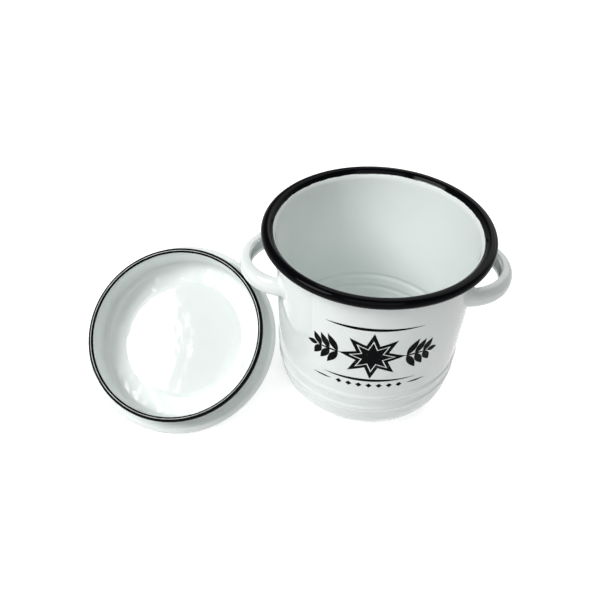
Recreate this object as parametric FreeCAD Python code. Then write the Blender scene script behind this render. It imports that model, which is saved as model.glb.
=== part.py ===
"""Lidded grease container in white enamelled steel, shown open with its lid lying beside it.

The pot is one deep-drawn shell whose top edge is curled outward into a bead that is enamelled black.
Two strap handles, folded to a lipped channel, are welded to its wall. The lid is one folded sheet with
a black edge and a hollow knob. The lid lies upside down: it rests on its knob and on its flange.

Frame: millimetres, +Z up, origin at the centre of the pot's base, +X through one handle, and the
printed front of the pot faces -Y.
"""
import FreeCAD
import Part

import math
import os

V = FreeCAD.Vector
Z_AXIS = V(0, 0, 1)

# ---------------------------------------------------------------- driving dimensions, mm
SHEET = 1.0                    # steel with its enamel on both sides

RIM_RADIUS = 60.5              # outside of the black bead
POT_HEIGHT = 111.1
WALL_RADIUS_TOP = 54.2         # outside of the wall under the bead
WALL_RADIUS_LOW = 52.0         # outside of the wall where the bottom corner starts
CORNER_RADIUS = 18.5           # outside of the rounded bottom corner
BEAD_HEIGHT = 5.0              # thickness of the curled bead
RIDGE_HEIGHTS = (24.5, 34.0)   # the two pressed ridges, above the base
RIDGE_PROUD = 1.2
RIDGE_HALF_WIDTH = 2.2
RIDGE_BEND = 3.0
FLARE_STEP = 1.1               # how far the wall steps out to meet the bead
FLARE_LENGTH = 3.0
FLARE_BEND = 3.0
FLARE_DROP = 0.9               # top of the flare below the middle of the bead
CURL_GAP = 0.4                 # between the wall and the end of the curl
CURL_END = 1.6                 # how far that end is turned up
CURL_END_BEND = 1.2

HANDLE_RADIUS = 27.5           # outside of the semicircular loop
HANDLE_REACH = 73.4            # pot axis to the outside of the loop
HANDLE_BOTTOM = 79.3
HANDLE_TOP = 90.2
HANDLE_DEPTH = 6.0             # channel depth, from its outside face to its lips
HANDLE_LIP = 2.6               # how far each lip is turned in
HANDLE_BACK_BEND = 4.2
HANDLE_LIP_BEND = 0.7
HANDLE_OVERRUN = 3.0           # degrees that each foot is spun on, to be trimmed by the wall
WELD_RADIUS = 1.5
WELD_OUT = 0.3                 # the weld's middle, outward of the loop's middle

EDGE_RADIUS = 51.4             # outside of the lid's black edge, which is curled outward
EDGE_LOW = -1.4                # this edge's two ends along the lid's axis
EDGE_HIGH = 2.6
SKIRT_RADIUS = 49.8            # outside of the lid's skirt
SKIRT_END = 1.2                # where the skirt's white part ends
FLANGE_RADIUS = 57.1
FLANGE_HEIGHT = 13.2           # middle of the flange, measured as the edge's ends are
FLANGE_THICKNESS = 4.4
FLANGE_BEND = 1.2              # of the corners beside the flange's bead
HOLLOW_DEPTH = 1.2             # of the groove between the skirt and the flange's bead
HOLLOW_WIDTH = 2.6             # its flat part, from the skirt out
HOLLOW_REACH = 5.0             # its sloping part ends here, from the skirt out
NECK_GAP = 0.25                # between the two layers of the fold, inside the flange
NECK_OUT = 3.2                 # the upper layer is flat to here, out from the skirt,
NECK_REACH = 5.2               # and then rises to the flange's bead, which starts here
NECK_BEND = 0.8
PLATEAU_RADIUS = 33.2          # the lid's flat middle
PLATEAU_HEIGHT = 18.9          # its inside face
STEP_WIDTH = 2.6               # the shallow step round the flat middle
STEP_RISE = 0.3
STEP_BEND = 1.6
SHOULDER_DROP = 0.75           # from the flat middle to the corner above the skirt
SHOULDER_BEND = 3.5

KNOB_RADIUS = 14.0
KNOB_EDGE_ROUND = 5.0
KNOB_HEAD_DEPTH = 10.5         # from the top to where the head turns in
KNOB_UNDERSIDE_DROP = 1.5      # the head's underside falls this much to the neck
KNOB_NECK_RADIUS = 7.0
KNOB_FOOT_RADIUS = 11.5
KNOB_BEND = 2.5
KNOB_WELD_WIDTH = 1.4
KNOB_WELD_SAG = (0.45, 0.35)   # middle of the weld's hollow face, out from the foot and up

LID_TILT = 32.7                # the lying lid leans this many degrees from level
LID_HEADING = -93.7            # and its hollow faces this way, in degrees from +X
LID_X = -111.4                 # middle of the black edge
LID_Y = -20.1


# ---------------------------------------------------------------- sheet-metal sections
def offset_corners(corners, distance):
    """Move an open path of corners sideways, to its left when distance is positive."""
    lines = []
    for start, end in zip(corners, corners[1:]):
        length = math.dist(start, end)
        normal = ((start[1] - end[1]) / length, (end[0] - start[0]) / length)
        lines.append(((start[0] + normal[0] * distance, start[1] + normal[1] * distance),
                      (end[0] - start[0], end[1] - start[1])))
    moved = [lines[0][0]]
    for (point_a, along_a), (point_b, along_b) in zip(lines, lines[1:]):
        cross = along_a[0] * along_b[1] - along_a[1] * along_b[0]
        gap = (point_b[0] - point_a[0], point_b[1] - point_a[1])
        share = (gap[0] * along_b[1] - gap[1] * along_b[0]) / cross
        moved.append((point_a[0] + along_a[0] * share, point_a[1] + along_a[1] * share))
    last_point, last_along = lines[-1]
    moved.append((last_point[0] + last_along[0], last_point[1] + last_along[1]))
    return moved


def rounded_path(corners, radii, distance):
    """Edges of a path of corners with bends, moved sideways by distance; bends stay concentric."""
    moved = offset_corners(corners, distance)
    to_3d = [V(r, 0, z) for r, z in moved]
    edges = []
    here = to_3d[0]
    for before, corner, after, radius in zip(to_3d, to_3d[1:], to_3d[2:], radii):
        into = (before - corner).normalize()
        out = (after - corner).normalize()
        turn = math.pi - into.getAngle(out)
        left_turn = into.z * out.x - into.x * out.z > 0
        bend = radius - distance if left_turn else radius + distance
        tangent = bend * math.tan(turn / 2)
        start = corner + into * tangent
        end = corner + out * tangent
        bisector = (into + out).normalize()
        middle = corner + bisector * (bend / math.cos(turn / 2) - bend)
        if here.distanceToPoint(start) > 1e-4:
            edges.append(Part.LineSegment(here, start).toShape())
        edges.append(Part.Arc(start, middle, end).toShape())
        here = end
    edges.append(Part.LineSegment(here, to_3d[-1]).toShape())
    return edges


def sheet_face(corners, radii, thickness=SHEET):
    """The section of a bent sheet whose middle line follows the corners."""
    left = rounded_path(corners, radii, thickness / 2)
    right = rounded_path(corners, radii, -thickness / 2)
    ends = [(left[0].Vertexes[0].Point, right[0].Vertexes[0].Point),
            (left[-1].Vertexes[-1].Point, right[-1].Vertexes[-1].Point)]
    caps = [Part.LineSegment(a, b).toShape() for a, b in ends]
    return Part.Face(Part.Wire(Part.__sortEdges__(left + right + caps)))


def spun(face, angle=360.0, centre=V(0, 0, 0)):
    """Turn a section about a vertical axis."""
    return face.revolve(centre, Z_AXIS, angle)


# ---------------------------------------------------------------- pot
BEAD_MIDDLE_Z = POT_HEIGHT - BEAD_HEIGHT / 2
HALF_SHEET = SHEET / 2
SEAT_RADIUS = WALL_RADIUS_TOP + FLARE_STEP - HALF_SHEET    # middle of the sheet under the bead


def wall_radius(height):
    """Outside radius of the straight, slightly tapered wall."""
    share = (height - CORNER_RADIUS) / (BEAD_MIDDLE_Z - CORNER_RADIUS)
    return WALL_RADIUS_LOW + (WALL_RADIUS_TOP - WALL_RADIUS_LOW) * share


def pot_path():
    """Middle line of the pot's sheet, from the centre of the base to the bottom of the bead."""
    corners = [(0, HALF_SHEET), (wall_radius(HALF_SHEET) - HALF_SHEET, HALF_SHEET)]
    bends = [CORNER_RADIUS - HALF_SHEET]
    for height in RIDGE_HEIGHTS:
        for step, proud in ((-RIDGE_HALF_WIDTH, 0), (0, RIDGE_PROUD), (RIDGE_HALF_WIDTH, 0)):
            corners.append((wall_radius(height + step) - HALF_SHEET + proud, height + step))
            bends.append(RIDGE_BEND)
    flare_top = BEAD_MIDDLE_Z - FLARE_DROP
    flare_low = flare_top - FLARE_LENGTH
    corners += [(wall_radius(flare_low) - HALF_SHEET, flare_low), (SEAT_RADIUS, flare_top),
                (SEAT_RADIUS, BEAD_MIDDLE_Z)]
    bends += [FLARE_BEND, FLARE_BEND]
    return corners, bends


def rim_path():
    """Middle line of the curl, from the top of the wall over and back under to the wall."""
    outer = RIM_RADIUS - HALF_SHEET
    top = POT_HEIGHT - HALF_SHEET
    bottom = POT_HEIGHT - BEAD_HEIGHT + HALF_SHEET
    round_bend = (top - bottom) / 2
    tucked_radius = SEAT_RADIUS + SHEET + CURL_GAP
    corners = [(SEAT_RADIUS, BEAD_MIDDLE_Z), (SEAT_RADIUS, top), (outer, top), (outer, bottom),
               (tucked_radius, bottom), (tucked_radius, bottom + CURL_END)]
    bends = [round_bend, round_bend, round_bend, CURL_END_BEND]
    return corners, bends


def pot_envelope():
    """Everything inside the pot's outer surface, to trim what meets the wall."""
    corners, bends = pot_path()
    outside = rounded_path(corners, bends, -HALF_SHEET)
    bottom = outside[0].Vertexes[0].Point
    top = outside[-1].Vertexes[-1].Point
    closing = [Part.LineSegment(top, V(0, 0, top.z)).toShape(),
               Part.LineSegment(V(0, 0, top.z), bottom).toShape()]
    return spun(Part.Face(Part.Wire(Part.__sortEdges__(outside + closing))))


# ---------------------------------------------------------------- handles
HANDLE_CENTRE_X = HANDLE_REACH - HANDLE_RADIUS


def handle_path():
    """Middle line of the lipped channel, with its open side towards the loop's axis."""
    out = HANDLE_CENTRE_X + HANDLE_RADIUS - HALF_SHEET
    lips = HANDLE_CENTRE_X + HANDLE_RADIUS - HANDLE_DEPTH + HALF_SHEET
    top = HANDLE_TOP - HALF_SHEET
    bottom = HANDLE_BOTTOM + HALF_SHEET
    corners = [(lips, HANDLE_BOTTOM + HANDLE_LIP), (lips, bottom), (out, bottom), (out, top),
               (lips, top), (lips, HANDLE_TOP - HANDLE_LIP)]
    bends = [HANDLE_LIP_BEND, HANDLE_BACK_BEND, HANDLE_BACK_BEND, HANDLE_LIP_BEND]
    return corners, bends


def loop_handle(envelope):
    """The handle on the +X side: half a turn of the channel, trimmed to the wall."""
    centre = V(HANDLE_CENTRE_X, 0, 0)
    start = sheet_face(*handle_path()).rotate(centre, Z_AXIS, -90 - HANDLE_OVERRUN)
    return spun(start, 180 + 2 * HANDLE_OVERRUN, centre).cut(envelope)


def foot_welds(handle, envelope):
    """Weld beads in the corner between each foot's outside face and the wall."""
    low = HANDLE_BOTTOM + HANDLE_DEPTH / 2
    high = HANDLE_TOP - HANDLE_DEPTH / 2
    beads = []
    for side in (-1, 1):
        foot = V(HANDLE_CENTRE_X + WELD_OUT, side * HANDLE_RADIUS, low)
        bead = Part.makeCylinder(WELD_RADIUS, high - low, foot)
        for height in (low, high):
            bead = bead.fuse(Part.makeSphere(WELD_RADIUS, V(foot.x, foot.y, height)))
        bead = bead.removeSplitter().cut(envelope).cut(handle)
        beads.append(max(bead.Solids, key=lambda solid: solid.Volume))
    return Part.makeCompound(beads)


# ---------------------------------------------------------------- lid, built closed: skirt down
def resting_height():
    """Height of the middle of the black edge when the flange touches the surface."""
    edge_round = FLANGE_THICKNESS / 2
    leant = FLANGE_HEIGHT * math.cos(TILT) + (FLANGE_RADIUS - edge_round) * math.sin(TILT)
    return leant + edge_round


def touching_knob_height(edge_height):
    """Height of the knob's top above the black edge that makes the knob touch the surface too."""
    reach = edge_height - KNOB_EDGE_ROUND - (KNOB_RADIUS - KNOB_EDGE_ROUND) * math.sin(TILT)
    return reach / math.cos(TILT) + KNOB_EDGE_ROUND


TILT = math.radians(LID_TILT)
LID_Z = resting_height()
KNOB_HEIGHT = touching_knob_height(LID_Z)


def lid_path():
    """Middle line of the lid's sheet: flat middle, step, corner, folded flange, skirt."""
    plateau = PLATEAU_HEIGHT + HALF_SHEET
    skirt = SKIRT_RADIUS - HALF_SHEET
    flange_top = FLANGE_HEIGHT + FLANGE_THICKNESS / 2 - HALF_SHEET
    flange_bottom = FLANGE_HEIGHT - FLANGE_THICKNESS / 2 + HALF_SHEET
    flange_edge = FLANGE_RADIUS - HALF_SHEET
    edge_bend = (flange_top - flange_bottom) / 2
    hollow = flange_bottom + HOLLOW_DEPTH
    neck = hollow + SHEET + NECK_GAP
    corners = [(0, plateau), (PLATEAU_RADIUS, plateau), (PLATEAU_RADIUS + STEP_WIDTH, plateau + STEP_RISE),
               (skirt, plateau - SHOULDER_DROP), (skirt, neck), (skirt + NECK_OUT, neck),
               (skirt + NECK_REACH, flange_top), (flange_edge, flange_top), (flange_edge, flange_bottom),
               (skirt + HOLLOW_REACH, flange_bottom), (skirt + HOLLOW_WIDTH, hollow), (skirt, hollow),
               (skirt, SKIRT_END)]
    bends = [STEP_BEND, STEP_BEND, SHOULDER_BEND, NECK_BEND, NECK_BEND, FLANGE_BEND,
             edge_bend, edge_bend, FLANGE_BEND, FLANGE_BEND, FLANGE_BEND]
    return corners, bends


def edge_face():
    """Section of the lid's black edge: its inside is flush with the skirt's inside."""
    inner = SKIRT_RADIUS - SHEET
    bend = (EDGE_RADIUS - inner) / 2
    middle = inner + bend
    low = EDGE_LOW + bend
    high = EDGE_HIGH - bend
    edges = [Part.Arc(V(inner, 0, low), V(middle, 0, EDGE_LOW), V(EDGE_RADIUS, 0, low)).toShape(),
             Part.LineSegment(V(EDGE_RADIUS, 0, low), V(EDGE_RADIUS, 0, high)).toShape(),
             Part.Arc(V(EDGE_RADIUS, 0, high), V(middle, 0, EDGE_HIGH), V(inner, 0, high)).toShape(),
             Part.LineSegment(V(inner, 0, high), V(inner, 0, low)).toShape()]
    return Part.Face(Part.Wire(edges))


def knob_path():
    """Middle line of the hollow knob, from its top centre down to the foot welded to the lid."""
    head = KNOB_RADIUS - HALF_SHEET
    neck = KNOB_NECK_RADIUS - HALF_SHEET
    head_low = KNOB_HEIGHT - KNOB_HEAD_DEPTH
    foot = PLATEAU_HEIGHT + SHEET + HALF_SHEET
    corners = [(0, KNOB_HEIGHT - HALF_SHEET), (head, KNOB_HEIGHT - HALF_SHEET), (head, head_low),
               (neck, head_low - KNOB_UNDERSIDE_DROP), (neck, foot), (KNOB_FOOT_RADIUS, foot)]
    bends = [KNOB_EDGE_ROUND - HALF_SHEET, KNOB_BEND, KNOB_BEND, KNOB_BEND]
    return corners, bends


def weld_ring():
    """Fillet weld between the knob's foot and the lid."""
    inner = V(KNOB_FOOT_RADIUS, 0, PLATEAU_HEIGHT + SHEET)
    outer = inner + V(KNOB_WELD_WIDTH, 0, 0)
    upper = inner + V(0, 0, SHEET)
    sag_out, sag_up = KNOB_WELD_SAG
    edges = [Part.LineSegment(inner, outer).toShape(),
             Part.Arc(outer, inner + V(sag_out, 0, sag_up), upper).toShape(),
             Part.LineSegment(upper, inner).toShape()]
    return spun(Part.Face(Part.Wire(edges)))


def lay_down(shape):
    """Turn a closed-pose lid piece upside down and set it where the lid lies."""
    heading = math.radians(LID_HEADING)
    level = math.sin(TILT)
    opening = V(level * math.cos(heading), level * math.sin(heading), math.cos(TILT))
    laid = shape.copy()
    laid.Placement = FreeCAD.Placement(V(LID_X, LID_Y, LID_Z), FreeCAD.Rotation(-Z_AXIS, opening))
    return laid


# ---------------------------------------------------------------- build and write
envelope = pot_envelope()
handle_right = loop_handle(envelope)
welds_right = foot_welds(handle_right, envelope)
origin = V(0, 0, 0)

skirt_sheet = spun(sheet_face(*lid_path()))
edge_bead = spun(edge_face()).cut(skirt_sheet)

nodes = {
    "pot_body": spun(sheet_face(*pot_path())),
    "pot_rim": spun(sheet_face(*rim_path())),
    "handle_right": handle_right,
    "handle_left": handle_right.rotated(origin, Z_AXIS, 180),
    "handle_right_welds": welds_right,
    "handle_left_welds": welds_right.rotated(origin, Z_AXIS, 180),
    "lid_body": lay_down(skirt_sheet),
    "lid_edge": lay_down(edge_bead),
    "lid_knob": lay_down(spun(sheet_face(*knob_path()))),
    "lid_knob_weld": lay_down(weld_ring()),
}

os.makedirs("parts", exist_ok=True)
for name, shape in nodes.items():
    shape.exportStep(f"parts/{name}.step")
    box = shape.BoundBox
    print(f"{name}: {len(shape.Solids)} solid(s), {shape.Volume / 1000:.2f} cm3, valid {shape.isValid()}, "
          f"x {box.XMin:.1f}..{box.XMax:.1f} y {box.YMin:.1f}..{box.YMax:.1f} z {box.ZMin:.2f}..{box.ZMax:.2f}")
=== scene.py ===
# %% [markdown]
# # A white enamelled pot with its lid beside it
# The pot is sheet steel under a thick coat of glass. Glass rounds every edge, fills every corner and
# shows its maker by what it reflects, so this lesson is about soft corners and clean reflections.
# The solid model gives each piece its true place and size. We load it first and model over it.

# %% Load the fixed frame
import math

import bmesh
import bpy
from mathutils import Matrix, Vector


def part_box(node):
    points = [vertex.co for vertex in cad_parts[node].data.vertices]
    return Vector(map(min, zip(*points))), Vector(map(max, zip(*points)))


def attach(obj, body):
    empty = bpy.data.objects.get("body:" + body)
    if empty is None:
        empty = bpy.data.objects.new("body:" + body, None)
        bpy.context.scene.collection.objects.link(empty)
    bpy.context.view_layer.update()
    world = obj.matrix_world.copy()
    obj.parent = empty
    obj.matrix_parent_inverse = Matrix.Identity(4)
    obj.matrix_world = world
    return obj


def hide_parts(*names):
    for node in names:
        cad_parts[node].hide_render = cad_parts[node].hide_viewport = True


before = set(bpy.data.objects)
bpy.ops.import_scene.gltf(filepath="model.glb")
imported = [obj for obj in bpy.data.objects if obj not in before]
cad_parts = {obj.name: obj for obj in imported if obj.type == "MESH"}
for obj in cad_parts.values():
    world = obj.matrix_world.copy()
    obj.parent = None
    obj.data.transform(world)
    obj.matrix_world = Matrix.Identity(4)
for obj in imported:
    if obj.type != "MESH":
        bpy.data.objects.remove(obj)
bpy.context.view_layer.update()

# %% [markdown]
# ## Sizes
# A pot like this is turned from a few numbers. The rim, the handles and the height are read from the
# frame, so the pieces modelled here fit it. The rest are the sheet's own: its thickness and its bends.

# %% Sizes read from the frame, and the sheet's own
MM = 0.001
SHEET = 1.0 * MM

rim_low, rim_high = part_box("pot_rim")
handle_low, handle_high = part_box("handle_right")
RIM_RADIUS = rim_high.x
POT_HEIGHT = rim_high.z
BEAD_HEIGHT = rim_high.z - rim_low.z
PAINT_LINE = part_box("pot_body")[1].z
HANDLE_REACH = handle_high.x
HANDLE_RADIUS = handle_high.y
HANDLE_TOP = handle_high.z
HANDLE_BOTTOM = handle_low.z

WALL_TOP = 54.2 * MM
WALL_LOW = 52.0 * MM
CORNER = 18.5 * MM
RIDGES = (24.5 * MM, 34.0 * MM)
RIDGE_PROUD = 1.2 * MM
RIDGE_HALF = 2.2 * MM
HANDLE_DEPTH = 6.0 * MM
HANDLE_LIP = 2.6 * MM
print(f"rim {RIM_RADIUS * 2:.4f} m across, pot {POT_HEIGHT:.4f} m high, paint line at {PAINT_LINE:.4f} m")

# %% [markdown]
# ## Where the lid lies
# The lid is modelled the way it sits on the pot, skirt down, with the middle of its black edge at the
# origin. Only at the end is it turned over and laid on its flange and knob. Modelling a turned part
# upright is easier, and its profile reads like a drawing.

# %% The lid's resting place
LID_TILT = math.radians(32.7)
LID_HEADING = math.radians(-93.7)
FLANGE_RADIUS = 57.1 * MM
FLANGE_HEIGHT = 13.2 * MM
FLANGE_THICK = 4.4 * MM
KNOB_RADIUS = 14.0 * MM
KNOB_ROUND = 5.0 * MM
LID_X = -111.4 * MM
LID_Y = -20.1 * MM

flange_round = FLANGE_THICK / 2
LID_Z = (FLANGE_HEIGHT * math.cos(LID_TILT) + (FLANGE_RADIUS - flange_round) * math.sin(LID_TILT)
         + flange_round)
knob_reach = LID_Z - KNOB_ROUND - (KNOB_RADIUS - KNOB_ROUND) * math.sin(LID_TILT)
KNOB_HEIGHT = knob_reach / math.cos(LID_TILT) + KNOB_ROUND

lid_centre = Vector((LID_X, LID_Y, LID_Z))
lid_opening = Vector((math.sin(LID_TILT) * math.cos(LID_HEADING),
                      math.sin(LID_TILT) * math.sin(LID_HEADING), math.cos(LID_TILT)))
lid_turn = Vector((0, 0, -1)).rotation_difference(lid_opening)
lid_place = Matrix.Translation(lid_centre) @ lid_turn.to_matrix().to_4x4()
print(f"the lid's edge is {LID_Z:.4f} m up, and its knob {KNOB_HEIGHT:.4f} m long from there")

# %% [markdown]
# ## Drawing a profile and spinning it
# Every piece of this set is round, so each could be a cylinder pulled about, a stack of scaled rings,
# or a profile spun about an axis. The profile is the best of them: one line shows the whole shape, and
# each bend is one number. We draw its corners by extruding a vertex, round them with the bevel
# operator, and spin the line. Two bends that meet in a half circle are made a hair smaller than that,
# so that a short straight stays between them and each corner can be found.

# %% Start a profile from one vertex, and pick vertices by their place
def deselect_all():
    bpy.ops.object.select_all(action="DESELECT")


def start_vertex(name, point):
    """A new mesh, in edit mode, with one vertex at a (radius, height) point."""
    deselect_all()
    bpy.ops.mesh.primitive_plane_add(size=0.01, location=(0, 0, 0))
    made = bpy.context.object
    made.name = name
    bpy.ops.object.mode_set(mode="EDIT")
    bpy.ops.mesh.select_all(action="SELECT")
    bpy.ops.mesh.merge(type="CENTER")
    bpy.ops.transform.translate(value=(point[0], 0, point[1]))
    return made


def pick_vertices(made, test):
    """In edit mode, select the vertices whose place passes the test."""
    bpy.ops.mesh.select_all(action="DESELECT")
    mesh = bmesh.from_edit_mesh(made.data)
    for vertex in mesh.verts:
        vertex.select = test(vertex.co)
    mesh.select_flush_mode()
    bmesh.update_edit_mesh(made.data)


# %% Draw the corners, then round each one with its own bend
SAME_PLACE = 0.01 * MM
DEGREES_PER_STEP = 9
FEWEST_STEPS = 3
ALMOST = 0.999


def turn_at(before, corner, after):
    """How far, in radians, a line turns at a corner."""
    into = Vector(corner) - Vector(before)
    out = Vector(after) - Vector(corner)
    return into.angle(out)


def draw_profile(name, corners):
    """Draw (radius, height, bend) corners with extrude, and round them with bevel."""
    made = start_vertex(name, corners[0][:2])
    for here, there in zip(corners, corners[1:]):
        step = (there[0] - here[0], 0, there[1] - here[1])
        bpy.ops.mesh.extrude_vertices_move(TRANSFORM_OT_translate={"value": step})
    for before, corner, after in zip(corners, corners[1:], corners[2:]):
        turn = turn_at(before[:2], corner[:2], after[:2])
        place = Vector((corner[0], 0, corner[1]))
        pick_vertices(made, lambda co: (co - place).length < SAME_PLACE)
        steps = max(FEWEST_STEPS, math.ceil(math.degrees(turn) / DEGREES_PER_STEP))
        bpy.ops.mesh.bevel(offset=corner[2] * math.tan(turn / 2), offset_type="OFFSET",
                           segments=steps, affect="VERTICES")
    return made


# %% Spin a profile all the way round
TURN_STEPS = 192
SEAM = 0.001 * MM


def spin_profile(made, steps=TURN_STEPS):
    """Spin the profile about Z and close the seam and the poles."""
    bpy.ops.mesh.select_all(action="SELECT")
    bpy.ops.mesh.spin(steps=steps, angle=2 * math.pi, center=(0, 0, 0), axis=(0, 0, 1),
                      use_auto_merge=True)
    bpy.ops.mesh.select_all(action="SELECT")
    bpy.ops.mesh.remove_doubles(threshold=SEAM)
    bpy.ops.mesh.normals_make_consistent(inside=False)
    bpy.ops.object.mode_set(mode="OBJECT")
    return made


# %% Give a sheet its thickness, and finish a piece
def apply_modifier(made, kind, **settings):
    """Add one modifier to the active object with these settings, and apply it."""
    added = made.modifiers.new(kind.title(), kind)
    for key, value in settings.items():
        setattr(added, key, value)
    deselect_all()
    made.select_set(True)
    bpy.context.view_layer.objects.active = made
    bpy.ops.object.modifier_apply(modifier=added.name)


def thicken(made, thickness=SHEET):
    apply_modifier(made, "SOLIDIFY", thickness=thickness, offset=0, use_even_offset=True,
                   use_quality_normals=True)


def finish_piece(made, body, nodes, smooth_under=50):
    """Smooth the bends, keep the flats flat, hang the piece on its body, and hide the frame parts it
    stands for.
    """
    deselect_all()
    made.select_set(True)
    bpy.context.view_layer.objects.active = made
    bpy.ops.object.shade_smooth_by_angle(angle=math.radians(smooth_under))
    apply_modifier(made, "WEIGHTED_NORMAL", mode="FACE_AREA", weight=100, keep_sharp=True)
    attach(made, body)
    if nodes:
        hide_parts(*nodes)
    print(f"{made.name}: {len(made.data.polygons)} faces")
    return made


# %% [markdown]
# ## The pot's shell
# The shell is one deep-drawn sheet. Its wall leans out a little, which lets it come off the press, and
# two ridges low down stiffen it. Under the bead the wall steps out, and from inside that step catches
# the light as a thin band. The ridges could be bumps in the material, but then the outline and the
# grooves inside would be wrong, so they are corners of the profile.

# %% The wall's radius at any height
def wall_radius(height):
    share = (height - CORNER) / (POT_HEIGHT - BEAD_HEIGHT / 2 - CORNER)
    return WALL_LOW + (WALL_TOP - WALL_LOW) * share


RIDGE_BEND = 3.0 * MM
FLARE = 1.1 * MM
FLARE_TURN = math.radians(38)
FLARE_BEND = 5.0 * MM
half_sheet = SHEET / 2
seat_radius = WALL_TOP + FLARE - half_sheet
flare_low = PAINT_LINE - FLARE / math.tan(FLARE_TURN)
print(f"wall radius at the handles {wall_radius(HANDLE_TOP):.4f} m")

# %% Draw and spin the shell
base_corner = wall_radius(half_sheet) - half_sheet
shell_corners = [(0, half_sheet, 0), (base_corner, half_sheet, CORNER - half_sheet)]
for ridge in RIDGES:
    for step, proud in ((-RIDGE_HALF, 0), (0, RIDGE_PROUD), (RIDGE_HALF, 0)):
        height = ridge + step
        shell_corners.append((wall_radius(height) - half_sheet + proud, height, RIDGE_BEND))
shell_corners += [
    (wall_radius(flare_low) - half_sheet, flare_low, FLARE_BEND),
    (seat_radius, PAINT_LINE, 0),
]
pot_shell = spin_profile(draw_profile("pot_shell", shell_corners))
thicken(pot_shell)
finish_piece(pot_shell, "pot", ["pot_body"])

# %% [markdown]
# ## The curled bead
# The top of the sheet is curled outward and down until its end nearly meets the wall again. A torus
# would give a round bead, but a pressed curl is flatter on top than a ring, and it has a gap below.

# %% Draw and spin the bead
CURL_GAP = 0.4 * MM
CURL_END = 1.6 * MM
CURL_END_BEND = 1.2 * MM
outer = RIM_RADIUS - half_sheet
top = POT_HEIGHT - half_sheet
bottom = POT_HEIGHT - BEAD_HEIGHT + half_sheet
curl_bend = (top - bottom) / 2
tuck = seat_radius + SHEET + CURL_GAP
bead_corners = [
    (seat_radius, PAINT_LINE, 0),
    (seat_radius + (top - PAINT_LINE) * math.tan(FLARE_TURN), top, curl_bend),
    (outer, top, curl_bend * ALMOST),
    (outer, bottom, curl_bend * ALMOST),
    (tuck, bottom, CURL_END_BEND),
    (tuck, bottom + CURL_END, 0),
]
pot_bead = spin_profile(draw_profile("pot_bead", bead_corners))
thicken(pot_bead)
finish_piece(pot_bead, "pot", ["pot_rim"])

# %% [markdown]
# ## The handles
# Each handle is a strip folded to a shallow channel with two lips, bent to a half circle and welded to
# the wall. A tube with a square section would look heavy from above, where the open side of the
# channel shows. So the fold is drawn as a profile again, and spun only half way round. The wall is
# curved, so each end is then slid along its own circle until it meets the wall.

# %% The fold, and where each of its circles meets the wall
HANDLE_CENTRE = HANDLE_REACH - HANDLE_RADIUS
LIP_BEND = 0.7 * MM
BACK_BEND = 4.2 * MM


def angle_at_wall(radius, height, gap=0.0):
    """The turn about the handle's own axis at which a circle of it meets the wall."""
    wall = wall_radius(height) + gap
    cosine = (wall ** 2 - HANDLE_CENTRE ** 2 - radius ** 2) / (2 * HANDLE_CENTRE * radius)
    return math.acos(cosine)


back = HANDLE_RADIUS - half_sheet
lip = HANDLE_RADIUS - HANDLE_DEPTH + half_sheet
fold_top = HANDLE_TOP - half_sheet
fold_bottom = HANDLE_BOTTOM + half_sheet
fold_corners = [
    (lip, HANDLE_BOTTOM + HANDLE_LIP, 0),
    (lip, fold_bottom, LIP_BEND),
    (back, fold_bottom, BACK_BEND),
    (back, fold_top, BACK_BEND),
    (lip, fold_top, LIP_BEND),
    (lip, HANDLE_TOP - HANDLE_LIP, 0),
]
wall_turn = math.degrees(angle_at_wall(back, HANDLE_TOP))
print(f"the back of the fold meets the wall {wall_turn:.1f} degrees round")

# %% Spin half way, slide the ends to the wall, and mirror the handle
HANDLE_STEPS = 96
HANDLE_EDGE = 0.35 * MM
SINK = 0.4 * MM


def bent_handle(name, side):
    """One handle; side is 1 for +X and -1 for -X."""
    made = draw_profile(name, fold_corners)
    bpy.ops.mesh.select_all(action="SELECT")
    bpy.ops.transform.rotate(value=-math.pi / 2, orient_axis="Z", center_override=(0, 0, 0))
    bpy.ops.mesh.spin(steps=HANDLE_STEPS, angle=math.pi, center=(0, 0, 0), axis=(0, 0, 1))
    bpy.ops.mesh.select_all(action="SELECT")
    bpy.ops.mesh.normals_make_consistent(inside=False)
    bpy.ops.object.mode_set(mode="OBJECT")
    thicken(made)
    apply_modifier(made, "BEVEL", width=HANDLE_EDGE, segments=3, limit_method="ANGLE",
                   angle_limit=math.radians(60))
    for vertex in made.data.vertices:
        x, y, z = vertex.co
        radius = math.hypot(x, y)
        share = math.atan2(y, x) / (math.pi / 2)
        turn = share * angle_at_wall(radius, z, -SINK)
        across = HANDLE_CENTRE + radius * math.cos(turn)
        vertex.co = (side * across, side * radius * math.sin(turn), z)
    return made


for name, node, side in (("right_handle", "handle_right", 1), ("left_handle", "handle_left", -1)):
    finish_piece(bent_handle(name, side), "pot", [node])

# %% [markdown]
# ## Enamel in the corners of the handles
# A handle is welded on before the pot is dipped, so the glass runs into the corner between them and
# leaves a soft fillet. A boolean and a bevel could find that corner, but on thin sheet they tear. The
# corner is a known line, the fold's outside against the wall, so the fillet is laid along it.

# %% Points along the outside of the fold
def rounded_line(corners):
    """The points of a (radius, height, bend) line after its bends are rounded."""
    made = draw_profile("line", corners)
    bpy.ops.object.mode_set(mode="OBJECT")
    neighbours = {}
    for edge in made.data.edges:
        first, second = edge.vertices
        neighbours.setdefault(first, []).append(second)
        neighbours.setdefault(second, []).append(first)
    ends = [index for index, near in neighbours.items() if len(near) == 1]
    start = Vector((corners[0][0], 0, corners[0][1]))
    here = min(ends, key=lambda index: (made.data.vertices[index].co - start).length)
    order = [here]
    while len(order) < len(neighbours):
        here = next(near for near in neighbours[here] if near not in order)
        order.append(here)
    points = [made.data.vertices[index].co.copy() for index in order]
    bpy.data.objects.remove(made)
    return points


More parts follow.
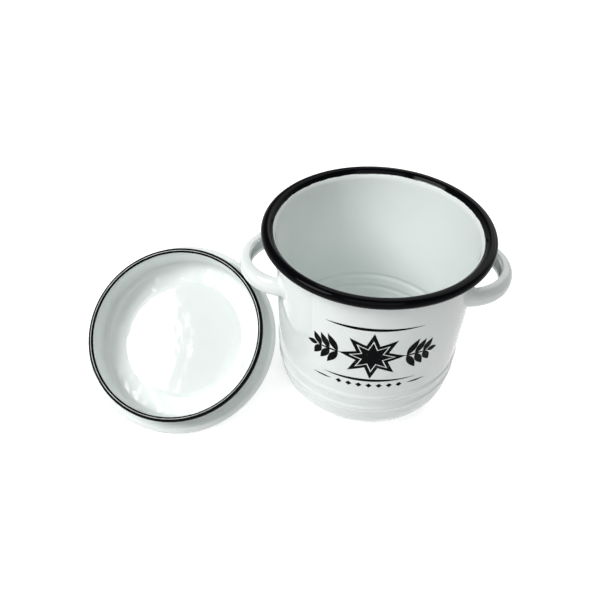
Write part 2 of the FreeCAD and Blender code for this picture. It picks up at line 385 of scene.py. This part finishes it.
def evenly(points, step):
    """The same line with points every step along it."""
    walked = [points[0]]
    for here, there in zip(points, points[1:]):
        parts = max(1, round((there - here).length / step))
        walked += [here.lerp(there, part / parts) for part in range(1, parts + 1)]
    return walked


FILLET_SPACING = 0.4 * MM
inside = HANDLE_RADIUS - HANDLE_DEPTH
fold_outside = evenly(rounded_line([
    (inside, HANDLE_BOTTOM + HANDLE_LIP, 0),
    (inside, HANDLE_BOTTOM, LIP_BEND + half_sheet),
    (HANDLE_RADIUS, HANDLE_BOTTOM, BACK_BEND + half_sheet),
    (HANDLE_RADIUS, HANDLE_TOP, BACK_BEND + half_sheet),
    (inside, HANDLE_TOP, LIP_BEND + half_sheet),
    (inside, HANDLE_TOP - HANDLE_LIP, 0),
]), FILLET_SPACING)
print(f"{len(fold_outside)} points round the fold")

# %% The fillet's section: a hollow curve that reaches a little into the handle and the wall
FILLET_STEPS = 6
INTO_WALL = 0.15 * MM
INTO_HANDLE = 0.2 * MM


def fillet_section(point, outward, size, foot):
    """The fillet's outline at one point of the fold: along its hollow face, and back inside."""
    shape = []
    for step in range(FILLET_STEPS + 1):
        turn = math.pi / 2 * step / FILLET_STEPS
        shape.append((size * (1 - math.cos(turn)), size * (1 - math.sin(turn))))
    shape += [(size / 2, -INTO_WALL), (-INTO_HANDLE, -INTO_WALL), (-INTO_HANDLE, size / 2)]
    section = []
    for away, gap in shape:
        place = point + outward * away
        turn = foot * angle_at_wall(place.x, place.z, gap)
        section.append(Vector((HANDLE_CENTRE + place.x * math.cos(turn),
                               place.x * math.sin(turn), place.z)))
    return section


# %% Lay one fillet at each foot, thin at its ends and uneven as glass runs
FILLET = 1.7 * MM
THIN_END = 0.35
END_SHARE = 1 / 8
SLOW_RUN, SLOW_COUNT = 0.16, 9
QUICK_RUN, QUICK_COUNT = 0.09, 23


def foot_fillet(mesh, foot, side):
    """Skin one foot's fillet into an open bmesh. foot is 1 or -1 along Y, side 1 or -1 along X."""
    rings = []
    last = len(fold_outside) - 1
    for index, point in enumerate(fold_outside):
        along = fold_outside[min(index + 1, last)] - fold_outside[max(index - 1, 0)]
        outward = Vector((along.z, 0, -along.x)).normalized()
        walk = index / last
        full = min(1, walk / END_SHARE, (1 - walk) / END_SHARE)
        run = (1 + SLOW_RUN * math.sin(SLOW_COUNT * walk + side)
               + QUICK_RUN * math.sin(QUICK_COUNT * walk + 2 * foot))
        size = FILLET * run * (THIN_END + (1 - THIN_END) * full)
        section = fillet_section(point, outward, size, foot)
        rings.append([mesh.verts.new((side * place.x, side * place.y, place.z)) for place in section])
    for here, there in zip(rings, rings[1:]):
        for index in range(len(here)):
            after = (index + 1) % len(here)
            mesh.faces.new((here[index], here[after], there[after], there[index]))
    mesh.faces.new(rings[0])
    mesh.faces.new(rings[-1])


def handle_fillets(name, side):
    """The fillets at both feet of one handle, as one piece."""
    mesh = bmesh.new()
    for foot in (1, -1):
        foot_fillet(mesh, foot, side)
    bmesh.ops.recalc_face_normals(mesh, faces=mesh.faces)
    data = bpy.data.meshes.new(name)
    mesh.to_mesh(data)
    mesh.free()
    made = bpy.data.objects.new(name, data)
    bpy.context.scene.collection.objects.link(made)
    return made


for name, node, side in (("right_handle_fillets", "handle_right_welds", 1),
                         ("left_handle_fillets", "handle_left_welds", -1)):
    finish_piece(handle_fillets(name, side), "pot", [node], smooth_under=70)

# %% [markdown]
# ## The lid
# The lid's inside is one smooth dish: a flat middle, a shallow step round it, a nearly level ring,
# and a round corner up to the skirt. Outside it has a flange that lands on the pot's bead. Its inside
# and its outside don't run side by side, so a sheet with one thickness can't give both. The outline of
# both is drawn as one line, out along the inside and back along the outside, and spun as a solid.

# %% The lid's sizes, inside first and then outside
DISH = 18.9 * MM
MIDDLE_RADIUS = 33.2 * MM
STEP_RADIUS = 35.8 * MM
STEP_RISE = 0.3 * MM
STEP_BEND = 1.0 * MM
RING_DROP = 0.75 * MM
SHOULDER_BEND = 3.0 * MM
SKIRT_IN = 48.5 * MM
SKIRT_OUT = 49.8 * MM
SKIRT_END = 0.6 * MM

GROOVE = 1.2 * MM
GROOVE_RADIUS = 52.1 * MM
GROOVE_BEND = 1.6 * MM
FLANGE_IN = 54.4 * MM
FLANGE_IN_BEND = 1.4 * MM
TIGHT_BEND = 0.7 * MM
BACK_GROOVE = 14.45 * MM
BACK_GROOVE_RADIUS = 52.5 * MM
BACK_GROOVE_BEND = 1.2 * MM
SHOULDER_OUT = 49.5 * MM
SHOULDER_OUT_RISE = 0.25 * MM
SHOULDER_OUT_BEND = 4.0 * MM
CORNER_SHIFT = 0.1 * MM
STEP_OUT_BEND = 1.6 * MM
flange_low = FLANGE_HEIGHT - flange_round
flange_high = FLANGE_HEIGHT + flange_round
print(f"the flange is {(flange_high - flange_low) / MM:.1f} mm thick")

# %% Draw and spin the lid, then lay it down
lid_corners = [
    (0, DISH, 0),
    (MIDDLE_RADIUS, DISH, STEP_BEND),
    (STEP_RADIUS, DISH + STEP_RISE, STEP_BEND),
    (SKIRT_IN, DISH - RING_DROP, SHOULDER_BEND),
    (SKIRT_IN, SKIRT_END, 0),
    (SKIRT_OUT, SKIRT_END, 0),
    (SKIRT_OUT, flange_low + GROOVE, TIGHT_BEND),
    (GROOVE_RADIUS, flange_low + GROOVE, GROOVE_BEND),
    (FLANGE_IN, flange_low, FLANGE_IN_BEND),
    (FLANGE_RADIUS, flange_low, flange_round * ALMOST),
    (FLANGE_RADIUS, flange_high, flange_round * ALMOST),
    (FLANGE_IN, flange_high, BACK_GROOVE_BEND),
    (BACK_GROOVE_RADIUS, BACK_GROOVE, BACK_GROOVE_BEND),
    (SHOULDER_OUT, BACK_GROOVE, TIGHT_BEND),
    (SHOULDER_OUT, DISH + SHOULDER_OUT_RISE, SHOULDER_OUT_BEND),
    (STEP_RADIUS + CORNER_SHIFT, DISH + STEP_RISE + SHEET, STEP_OUT_BEND),
    (MIDDLE_RADIUS - CORNER_SHIFT, DISH + SHEET, STEP_OUT_BEND),
    (0, DISH + SHEET, 0),
]


def lay_down(made):
    """Turn an upright lid piece over and lay it in its place, and put that place in its mesh."""
    deselect_all()
    made.select_set(True)
    bpy.context.view_layer.objects.active = made
    made.matrix_world = lid_place
    bpy.ops.object.transform_apply(location=True, rotation=True, scale=True)
    return made


lid_shell = lay_down(spin_profile(draw_profile("lid_shell", lid_corners)))
finish_piece(lid_shell, "lid", ["lid_body"])

# %% The black edge of the skirt, curled outward and pressed flat
EDGE_RADIUS = 51.4 * MM
EDGE_LOW = -1.4 * MM
EDGE_HIGH = 2.6 * MM
edge_middle = (SKIRT_IN + EDGE_RADIUS) / 2
edge_bend = (EDGE_RADIUS - SKIRT_IN) / 2 * ALMOST
edge_corners = [
    (edge_middle, EDGE_LOW, 0),
    (EDGE_RADIUS, EDGE_LOW, edge_bend),
    (EDGE_RADIUS, EDGE_HIGH, edge_bend),
    (SKIRT_IN, EDGE_HIGH, edge_bend),
    (SKIRT_IN, EDGE_LOW, edge_bend),
    (edge_middle, EDGE_LOW, 0),
]
lid_rolled_edge = lay_down(spin_profile(draw_profile("lid_rolled_edge", edge_corners)))
finish_piece(lid_rolled_edge, "lid", ["lid_edge"])

# %% [markdown]
# ## The knob
# The knob is a pressed cup, closed at the top and drawn in to a neck, with a foot that is welded to
# the lid. It is under the lid here, and it props the lid up.

# %% Draw and spin the knob
KNOB_STEPS = 96
NECK_RADIUS = 7.0 * MM
FOOT_RADIUS = 11.5 * MM
HEAD_DEPTH = 10.5 * MM
UNDERSIDE_DROP = 1.5 * MM
KNOB_BEND = 2.5 * MM
head = KNOB_RADIUS - half_sheet
neck = NECK_RADIUS - half_sheet
head_low = KNOB_HEIGHT - HEAD_DEPTH
foot_height = DISH + SHEET + half_sheet
knob_corners = [
    (0, KNOB_HEIGHT - half_sheet, 0),
    (head, KNOB_HEIGHT - half_sheet, KNOB_ROUND - half_sheet),
    (head, head_low, KNOB_BEND),
    (neck, head_low - UNDERSIDE_DROP, KNOB_BEND),
    (neck, foot_height, KNOB_BEND),
    (FOOT_RADIUS, foot_height, 0),
]
knob = spin_profile(draw_profile("knob", knob_corners), steps=KNOB_STEPS)
thicken(knob)
finish_piece(lay_down(knob), "lid", ["lid_knob"])

# %% The weld round the knob's foot, a hollow fillet from the lid up to the foot's edge
weld_section = [
    (-0.4, -0.1, 0), (1.6, -0.1, 0), (1.5, 0.05, 0), (0.3, 0.3, 0.8),
    (-0.1, 1.25, 0), (-0.6, 0.9, 0), (-0.4, -0.1, 0),
]
weld_corners = [(FOOT_RADIUS + out * MM, DISH + SHEET + up * MM, bend * MM)
                for out, up, bend in weld_section]
knob_fillet = spin_profile(draw_profile("knob_fillet", weld_corners), steps=KNOB_STEPS)
finish_piece(lay_down(knob_fillet), "lid", ["lid_knob_weld"])

# %% [markdown]
# ## The printed front
# The print is a thin film of black enamel, fired on from a transfer. It could be painted in the
# material, but then it would have no edge and would blur up close. So each motif is a flat shape, cut
# into strips so that it can bend, wrapped on the wall and given a film's thickness. The motifs are
# plain ones: a star, two sprigs of leaves, and rules.

# %% A flat shape from its outline, and a thin line inside its edge
FILM = 0.05 * MM


def flat_shape(name, outline):
    """A filled face with this outline of (across, up) points."""
    deselect_all()
    bpy.ops.mesh.primitive_circle_add(vertices=len(outline), radius=1, fill_type="NGON",
                                      location=(0, 0, 0))
    made = bpy.context.object
    made.name = name
    for vertex, (across, up) in zip(made.data.vertices, outline):
        vertex.co = (across, up, 0)
    return made


def cut_line_inside(made, border, line):
    """Leave a thin bare line inside the shape's edge."""
    bpy.ops.object.mode_set(mode="EDIT")
    bpy.ops.mesh.select_all(action="SELECT")
    bpy.ops.mesh.inset(thickness=border)
    kept = {face.index for face in bmesh.from_edit_mesh(made.data).faces}
    bpy.ops.mesh.inset(thickness=line)
    mesh = bmesh.from_edit_mesh(made.data)
    for face in mesh.faces:
        face.select = face.index not in kept
    bmesh.update_edit_mesh(made.data)
    bpy.ops.mesh.delete(type="FACE")
    bpy.ops.object.mode_set(mode="OBJECT")


# %% Outlines of a star, a leaf and a lozenge
LEAF_STEPS = 10
LEAF_BELLY = 0.85


def star_outline(points, outer_radius, inner_radius):
    outline = []
    for index in range(points * 2):
        radius = (outer_radius, inner_radius)[index % 2]
        turn = math.pi / 2 + math.pi * index / points
        outline.append((radius * math.cos(turn), radius * math.sin(turn)))
    return outline


def leaf_outline(length, width, start, turn=0.0):
    """A leaf that starts at a point and runs in the direction of turn."""
    outline = []
    for index in range(2 * LEAF_STEPS):
        there = index <= LEAF_STEPS
        along = index / LEAF_STEPS if there else 2 - index / LEAF_STEPS
        half = width / 2 * math.sin(math.pi * along ** LEAF_BELLY)
        across = -half if there else half
        x = along * length
        outline.append((start[0] + x * math.cos(turn) - across * math.sin(turn),
                        start[1] + x * math.sin(turn) + across * math.cos(turn)))
    return outline


def lozenge_outline(size, centre):
    x, y = centre
    return [(x - size / 2, y), (x, y - size / 2), (x + size / 2, y), (x, y + size / 2)]


def mirrored(outline):
    return [(-x, y) for x, y in reversed(outline)]


# %% Two long rules and a row of lozenges
PRINT_MIDDLE = 68.0 * MM
RULE_HEIGHTS = (87.6 * MM, 49.6 * MM)
RULE_LENGTH = 50 * MM
RULE_WIDTH = 1.9 * MM
ROW_HEIGHT = 45.4 * MM
LOZENGES_A_SIDE = 3
LOZENGE_SIZE = 3.4 * MM
LOZENGE_STEP = 5.4 * MM

outlines = [leaf_outline(RULE_LENGTH, RULE_WIDTH, (-RULE_LENGTH / 2, height))
            for height in RULE_HEIGHTS]
for step in range(-LOZENGES_A_SIDE, LOZENGES_A_SIDE + 1):
    outlines.append(lozenge_outline(LOZENGE_SIZE, (step * LOZENGE_STEP, ROW_HEIGHT)))
print(f"{len(outlines)} rules and lozenges")

# %% A sprig on the right: a stalk, pairs of leaves, a leaf at the tip, and a short rule below
STALK_START = 16.0 * MM
STALK_LENGTH = 14.0 * MM
STALK_WIDTH = 1.2 * MM
PAIRS = 3
FIRST_PAIR = 17.6
PAIR_STEP = 4.6
LEAF_LENGTH = 12.0
LEAF_SHORTER = 1.5
LEAF_WIDTH = 4.0 * MM
LEAF_LEAN = 1.08
TIP_START = 29.0 * MM
TIP_LENGTH = 6.0 * MM
TIP_WIDTH = 3.4 * MM
SHORT_RULE_START = 20.5 * MM
SHORT_RULE_LENGTH = 11.0 * MM
SHORT_RULE_WIDTH = 1.1 * MM

sprig = [leaf_outline(STALK_LENGTH, STALK_WIDTH, (STALK_START, PRINT_MIDDLE))]
for pair in range(PAIRS):
    root = ((FIRST_PAIR + PAIR_STEP * pair) * MM, PRINT_MIDDLE)
    length = (LEAF_LENGTH - LEAF_SHORTER * pair) * MM
    for lean in (LEAF_LEAN, -LEAF_LEAN):
        sprig.append(leaf_outline(length, LEAF_WIDTH, root, turn=lean))
sprig.append(leaf_outline(TIP_LENGTH, TIP_WIDTH, (TIP_START, PRINT_MIDDLE)))
sprig.append(leaf_outline(SHORT_RULE_LENGTH, SHORT_RULE_WIDTH, (SHORT_RULE_START, ROW_HEIGHT)))
outlines += sprig + [mirrored(outline) for outline in sprig]
print(f"{len(sprig)} shapes on each side")

# %% The star, and all the motifs joined into one flat print
STAR_POINTS = 8
STAR_RADIUS = 17.0 * MM
STAR_INNER_RADIUS = 8.8 * MM
STAR_BORDER = 1.8 * MM
STAR_LINE = 0.55 * MM

motifs = [flat_shape("motif", outline) for outline in outlines]
star = flat_shape("star", [(x, y + PRINT_MIDDLE) for x, y
                           in star_outline(STAR_POINTS, STAR_RADIUS, STAR_INNER_RADIUS)])
cut_line_inside(star, STAR_BORDER, STAR_LINE)
deselect_all()
for motif in motifs + [star]:
    motif.select_set(True)
bpy.context.view_layer.objects.active = star
bpy.ops.object.join()
star.name = "front_print"
print(f"{len(motifs) + 1} motifs in the print")

# %% Cut it in strips, wrap it on the wall and thicken it
STRIP = 1.5 * MM
STRIPS_A_SIDE = 22
CLEAR_OF_WALL = 0.01 * MM
PRINT_RADIUS = wall_radius(PRINT_MIDDLE)
bpy.ops.object.mode_set(mode="EDIT")
for step in range(-STRIPS_A_SIDE, STRIPS_A_SIDE + 1):
    bpy.ops.mesh.select_all(action="SELECT")
    bpy.ops.mesh.bisect(plane_co=(step * STRIP, 0, 0), plane_no=(1, 0, 0))
bpy.ops.object.mode_set(mode="OBJECT")
for vertex in star.data.vertices:
    across, height, _ = vertex.co
    turn = across / PRINT_RADIUS - math.pi / 2
    radius = wall_radius(height) + CLEAR_OF_WALL
    vertex.co = (radius * math.cos(turn), radius * math.sin(turn), height)
apply_modifier(star, "SOLIDIFY", thickness=FILM, offset=1)
finish_piece(star, "pot", [], smooth_under=30)

# %% [markdown]
# ## The enamel
# Vitreous enamel is glass melted on steel. It is glossy but never flat: it pulls into slow waves as it
# runs and has a fine orange peel. Both are far too shallow to model, so they go in the material as a
# bump. Every finish here needs them, so they are one node group, placed in each material.

# %% Add a node with its settings and inputs in one line
def add_node(tree, kind, inputs=None, **settings):
    """A new node; an input is a plain value, or another node's output to link."""
    made = tree.nodes.new(kind)
    for key, value in settings.items():
        setattr(made, key, value)
    for key, value in (inputs or {}).items():
        if isinstance(value, bpy.types.NodeSocket):
            tree.links.new(value, made.inputs[key])
        else:
            made.inputs[key].default_value = value
    return made


def new_group(name, inputs, outputs):
    """An empty node group with float or vector sockets, and its input and output nodes."""
    group = bpy.data.node_groups.new(name, "ShaderNodeTree")
    for socket, kind in inputs.items():
        group.interface.new_socket(socket, in_out="INPUT", socket_type=kind)
    for socket, kind in outputs.items():
        group.interface.new_socket(socket, in_out="OUTPUT", socket_type=kind)
    return group, group.nodes.new("NodeGroupInput"), group.nodes.new("NodeGroupOutput")


# %% A group for the waves and the orange peel
enamel_skin, skin_in, skin_out = new_group(
    "enamel skin",
    {"Vector": "NodeSocketVector", "Wave": "NodeSocketFloat", "Peel": "NodeSocketFloat"},
    {"Height": "NodeSocketFloat", "Thickness": "NodeSocketFloat"})
waves = add_node(enamel_skin, "ShaderNodeTexNoise",
                 {"Vector": skin_in.outputs["Vector"], "Scale": 85, "Detail": 2.5, "Roughness": 0.45})
peel = add_node(enamel_skin, "ShaderNodeTexNoise",
                {"Vector": skin_in.outputs["Vector"], "Scale": 420, "Detail": 1, "Roughness": 0.5})
wave_height = add_node(enamel_skin, "ShaderNodeMath",
                       {0: waves.outputs["Fac"], 1: skin_in.outputs["Wave"]}, operation="MULTIPLY")
peel_height = add_node(enamel_skin, "ShaderNodeMath",
                       {0: peel.outputs["Fac"], 1: skin_in.outputs["Peel"]}, operation="MULTIPLY")
skin_height = add_node(enamel_skin, "ShaderNodeMath",
                       {0: wave_height.outputs[0], 1: peel_height.outputs[0]}, operation="ADD")
enamel_skin.links.new(skin_height.outputs[0], skin_out.inputs["Height"])
enamel_skin.links.new(waves.outputs["Fac"], skin_out.inputs["Thickness"])
print(f"{enamel_skin.name}: {len(enamel_skin.nodes)} nodes")

# %% [markdown]
# ## Where black meets white
# The black is put on the rim by hand, after the white, so its edge wanders a little. A texture could
# hold that edge, but a height and some noise are enough: above the line is black, below it is white.

# %% A group for the hand-painted line
EDGE_SOFT = 0.06 * MM
paint_line, line_in, line_out = new_group(
    "paint line",
    {"Vector": "NodeSocketVector", "Height": "NodeSocketFloat", "Wander": "NodeSocketFloat"},
    {"Black": "NodeSocketFloat"})
slow = add_node(paint_line, "ShaderNodeTexNoise",
                {"Vector": line_in.outputs["Vector"], "Scale": 120, "Detail": 5, "Roughness": 0.62})
centred = add_node(paint_line, "ShaderNodeMath", {0: slow.outputs["Fac"], 1: 0.5},
                   operation="SUBTRACT")
wander = add_node(paint_line, "ShaderNodeMath",
                  {0: centred.outputs[0], 1: line_in.outputs["Wander"]}, operation="MULTIPLY")
level = add_node(paint_line, "ShaderNodeMath",
                 {0: line_in.outputs["Height"], 1: wander.outputs[0]}, operation="ADD")
edge = add_node(paint_line, "ShaderNodeMapRange",
                {"Value": level.outputs[0], "From Min": -EDGE_SOFT, "From Max": EDGE_SOFT})
paint_line.links.new(edge.outputs["Result"], line_out.inputs["Black"])
print(f"{paint_line.name}: {len(paint_line.nodes)} nodes")

# %% The two enamels, mixed by the paint line
WHITE = (0.850, 0.893, 0.877, 1)
THIN_WHITE = (0.820, 0.868, 0.853, 1)
BLACK = (0.0020, 0.0022, 0.0030, 1)
PEEL = 0.05
SKIN_DEPTH = 0.03 * MM


def mix_colours(tree, mask, first, second):
    """The first colour where the mask is 0, the second where it is 1. Sockets 6 and 7 are colours."""
    mixed = add_node(tree, "ShaderNodeMix", {0: mask, 6: first, 7: second}, data_type="RGBA")
    return mixed.outputs[2]


def enamel_material(name, black=None, gloss=0.5, roughness=0.07, wave=1.2):
    """White enamel, black where the mask says; black(tree, place) makes the mask."""
    made = bpy.data.materials.new(name)
    made.use_nodes = True
    tree = made.node_tree
    shader = tree.nodes["Principled BSDF"]
    place = tree.nodes.new("ShaderNodeTexCoord").outputs["Object"]
    skin = add_node(tree, "ShaderNodeGroup", node_tree=enamel_skin)
    tree.links.new(place, skin.inputs["Vector"])
    skin.inputs["Wave"].default_value = wave
    skin.inputs["Peel"].default_value = PEEL
    colour = mix_colours(tree, skin.outputs["Thickness"], WHITE, THIN_WHITE)
    if black:
        colour = mix_colours(tree, black(tree, place), colour, BLACK)
    tree.links.new(colour, shader.inputs["Base Color"])
    shader.inputs["Roughness"].default_value = roughness
    shader.inputs["Specular IOR Level"].default_value = gloss
    bump = add_node(tree, "ShaderNodeBump", {"Height": skin.outputs["Height"], "Distance": SKIN_DEPTH})
    tree.links.new(bump.outputs["Normal"], shader.inputs["Normal"])
    return made


# %% A painted line, and the distance from a piece's axis
def line_mask(tree, place, height, wander):
    """The hand-painted line where height passes zero."""
    line = add_node(tree, "ShaderNodeGroup", node_tree=paint_line)
    tree.links.new(place, line.inputs["Vector"])
    tree.links.new(height, line.inputs["Height"])
    line.inputs["Wander"].default_value = wander
    return line.outputs["Black"]


def math_node(tree, operation, first, second=0.0):
    """One sum on two values, for the masks."""
    return add_node(tree, "ShaderNodeMath", {0: first, 1: second}, operation=operation).outputs[0]


def from_axis(tree, place):
    """The distance from the Z axis."""
    flat = add_node(tree, "ShaderNodeVectorMath", {0: place, 1: (1, 1, 0)}, operation="MULTIPLY")
    length = add_node(tree, "ShaderNodeVectorMath", {0: flat.outputs[0]}, operation="LENGTH")
    return length.outputs["Value"]


def height_of(tree, place):
    return add_node(tree, "ShaderNodeSeparateXYZ", {"Vector": place}).outputs["Z"]


# %% Masks for the pot: black above a line, and all round the outside of the curl
POT_WANDER = 1.1 * MM
BLACK_OUTSIDE = seat_radius + 0.9 * MM


def black_over_line(tree, place):
    over = math_node(tree, "SUBTRACT", height_of(tree, place), PAINT_LINE)
    return line_mask(tree, place, over, POT_WANDER)


def black_over_line_and_outside(tree, place):
    outside = math_node(tree, "GREATER_THAN", from_axis(tree, place), BLACK_OUTSIDE)
    return math_node(tree, "MAXIMUM", black_over_line(tree, place), outside)


# %% Masks for the lid, measured in the lid's own frame: its skirt's end, and its curled edge
LID_LINE = -0.3 * MM
LID_WANDER = 0.7 * MM
SKIRT_MARGIN = 0.1 * MM
CREST = SKIRT_IN + 1.15 * MM
CREST_HALF = 0.13 * MM
CREST_WANDER = 0.25 * MM
CREST_COVER = 0.25
lid_back = lid_place.inverted()


def in_lid_frame(tree, place):
    """The same place, as if the lid were upright at the origin."""
    turned = add_node(tree, "ShaderNodeMapping", {"Vector": place, "Location": lid_back.to_translation(),
                                                  "Rotation": lid_back.to_euler()})
    return turned.outputs[0]


def black_near_edge(tree, place):
    """Black near the end of the lid's skirt."""
    under = math_node(tree, "SUBTRACT", LID_LINE, height_of(tree, in_lid_frame(tree, place)))
    return line_mask(tree, place, under, LID_WANDER)


def black_on_edge(tree, place):
    """Black on the curled edge: thin along its crest, and none where it meets the skirt's inside."""
    radius = from_axis(tree, in_lid_frame(tree, place))
    outside = math_node(tree, "GREATER_THAN", radius, SKIRT_IN + SKIRT_MARGIN)
    both = math_node(tree, "MAXIMUM", black_near_edge(tree, place), outside)
    from_crest = math_node(tree, "ABSOLUTE", math_node(tree, "SUBTRACT", radius, CREST))
    past_crest = math_node(tree, "SUBTRACT", from_crest, CREST_HALF)
    full = line_mask(tree, place, past_crest, CREST_WANDER)
    return math_node(tree, "MINIMUM", both, math_node(tree, "MAXIMUM", full, CREST_COVER))


# %% A mask for the printed ink, with a few pinholes that show the white under it
def ink_with_specks(tree, place):
    specks = add_node(tree, "ShaderNodeTexNoise",
                      {"Vector": place, "Scale": 1500, "Detail": 2, "Roughness": 0.6})
    hidden = add_node(tree, "ShaderNodeMapRange",
                      {"Value": specks.outputs["Fac"], "From Min": 0.21, "From Max": 0.27})
    return hidden.outputs["Result"]


# %% Dress every piece
BLACK_GLOSS = 0.045
finishes = {
    "white_enamel": enamel_material("white_enamel"),
    "pot_enamel": enamel_material("pot_enamel", black_over_line),
    "bead_enamel": enamel_material("bead_enamel", black_over_line_and_outside, gloss=BLACK_GLOSS),
    "lid_enamel": enamel_material("lid_enamel", black_near_edge, wave=6.5),
    "lid_edge_enamel": enamel_material("lid_edge_enamel", black_on_edge, gloss=BLACK_GLOSS),
    "print_ink": enamel_material("print_ink", ink_with_specks, gloss=0.02, roughness=0.45),
}
dressed = {
    "pot_shell": "pot_enamel", "pot_bead": "bead_enamel",
    "lid_shell": "lid_enamel", "lid_rolled_edge": "lid_edge_enamel",
    "front_print": "print_ink",
}
pieces = [thing for thing in bpy.data.objects
          if thing.type == "MESH" and thing.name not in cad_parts]
for piece in pieces:
    finish = dressed.get(piece.name, "white_enamel")
    piece.data.materials.clear()
    piece.data.materials.append(finishes[finish])
    print(f"{piece.name}: {finish}")

# %% [markdown]
# ## The camera
# The camera stands above and in front of the pot and looks down at it, close enough for the rim to
# open out towards the viewer.

# %% Place the camera
CAMERA_PLACE = (-19.8 * MM, -249.9 * MM, 284.9 * MM)
LOOK_DOWN = math.radians(42.51)
LOOK_LEFT = math.radians(4.7)
SENSOR = 36
LENS_TO_FRAME = 583 / 600

deselect_all()
bpy.ops.object.camera_add(location=CAMERA_PLACE, rotation=(math.pi / 2 - LOOK_DOWN, 0, LOOK_LEFT))
camera = bpy.context.object
camera.data.sensor_width = SENSOR
camera.data.lens = LENS_TO_FRAME * SENSOR
camera.data.clip_start = 0.01
bpy.context.scene.camera = camera
bpy.context.scene.view_settings.view_transform = "Standard"
print(f"lens {camera.data.lens:.2f} mm")

# %% [markdown]
# ## The studio
# White enamel is hard to light: with light from all sides it has no shape, and with one lamp it burns
# out. One round dish high on the left does most of the work here. A soft box behind on the right and
# one in front fill its shadows, and the floor gives their light back from below. The floor is near
# white for the camera and for reflections, and still takes a shadow. Far from the lamps it glows more,
# so that it meets the white room without a line.

# %% A white floor that keeps a soft shadow
def seen_directly(tree):
    """1 for what the camera sees, and for what gloss and glass show of it."""
    path = tree.nodes.new("ShaderNodeLightPath").outputs
    first = math_node(tree, "MAXIMUM", path["Is Camera Ray"], path["Is Glossy Ray"])
    return math_node(tree, "MAXIMUM", first, path["Is Transmission Ray"])


FLOOR_SIZE = 6
FLOOR_WHITE = (0.88, 0.88, 0.88, 1)
FLOOR_GLOW = 0.62
NEAR, FAR = 0.5, 1.6
bpy.ops.mesh.primitive_plane_add(size=FLOOR_SIZE, location=(0, 0, 0))
floor = bpy.context.object
floor.name = "floor"
floor_white = bpy.data.materials.new("floor_white")
floor_white.use_nodes = True
tree = floor_white.node_tree
shader = tree.nodes["Principled BSDF"]
shader.inputs["Base Color"].default_value = FLOOR_WHITE
shader.inputs["Roughness"].default_value = 1.0
shader.inputs["Specular IOR Level"].default_value = 0.0
shader.inputs["Emission Color"].default_value = (1, 1, 1, 1)
spot = tree.nodes.new("ShaderNodeTexCoord").outputs["Object"]
away = add_node(tree, "ShaderNodeVectorMath", {0: spot}, operation="LENGTH")
level = add_node(tree, "ShaderNodeMapRange",
                 {"Value": away.outputs["Value"], "From Min": NEAR, "From Max": FAR,
                  "To Min": FLOOR_GLOW, "To Max": 1.0}, interpolation_type="SMOOTHSTEP")
glow = math_node(tree, "MULTIPLY", seen_directly(tree), level.outputs["Result"])
tree.links.new(glow, shader.inputs["Emission Strength"])
floor.data.materials.append(floor_white)
print(f"floor {FLOOR_SIZE} m across")

# %% The room: white for the camera, and in reflections dark overhead
DIM_FROM, DIM_TO = 0.20, 0.62
CEILING = 0.12
world = bpy.context.scene.world or bpy.data.worlds.new("room")
bpy.context.scene.world = world
world.use_nodes = True
tree = world.node_tree
direction = tree.nodes.new("ShaderNodeTexCoord").outputs["Generated"]
dimmed = add_node(tree, "ShaderNodeMapRange",
                  {"Value": height_of(tree, direction), "From Min": DIM_FROM, "From Max": DIM_TO,
                   "To Min": 1.0, "To Max": CEILING}, interpolation_type="SMOOTHSTEP")
in_gloss = math_node(tree, "MULTIPLY", seen_directly(tree), dimmed.outputs["Result"])
to_camera = tree.nodes.new("ShaderNodeLightPath").outputs["Is Camera Ray"]
strength = math_node(tree, "MAXIMUM", in_gloss, to_camera)
background = tree.nodes["Background"]
background.inputs["Color"].default_value = (1, 1, 1, 1)
tree.links.new(strength, background.inputs["Strength"])
print(f"the room dims to {CEILING} overhead, in reflections")

# %% Three lamps, each aimed at the middle of the pot
AIM_POINT = Vector((0, 0, 60 * MM))


def studio_lamp(name, direction, distance, size, brightness, shape="SQUARE"):
    """A flat lamp, its brightness given as the radiance that a reflection of it shows."""
    aim = Vector(direction).normalized()
    bpy.ops.object.light_add(type="AREA", location=AIM_POINT + aim * distance)
    lamp = bpy.context.object
    lamp.name = name
    lamp.data.shape = shape
    lamp.data.size = size
    area = size ** 2 * (math.pi / 4 if shape == "DISK" else 1)
    lamp.data.energy = brightness * math.pi * area
    lamp.rotation_euler = aim.to_track_quat("Z", "Y").to_euler()
    print(f"{name}: {lamp.data.energy:.2f} W")


studio_lamp("key_beauty_dish", direction=(-0.630, -0.316, 0.698), distance=0.992, size=0.5,
            brightness=11.5, shape="DISK")
studio_lamp("back_soft_box", direction=(0.354, 0.612, 0.707), distance=0.9, size=0.8, brightness=2.1)
studio_lamp("front_soft_box", direction=(0.0, -0.707, 0.707), distance=0.9, size=0.66, brightness=1.85)
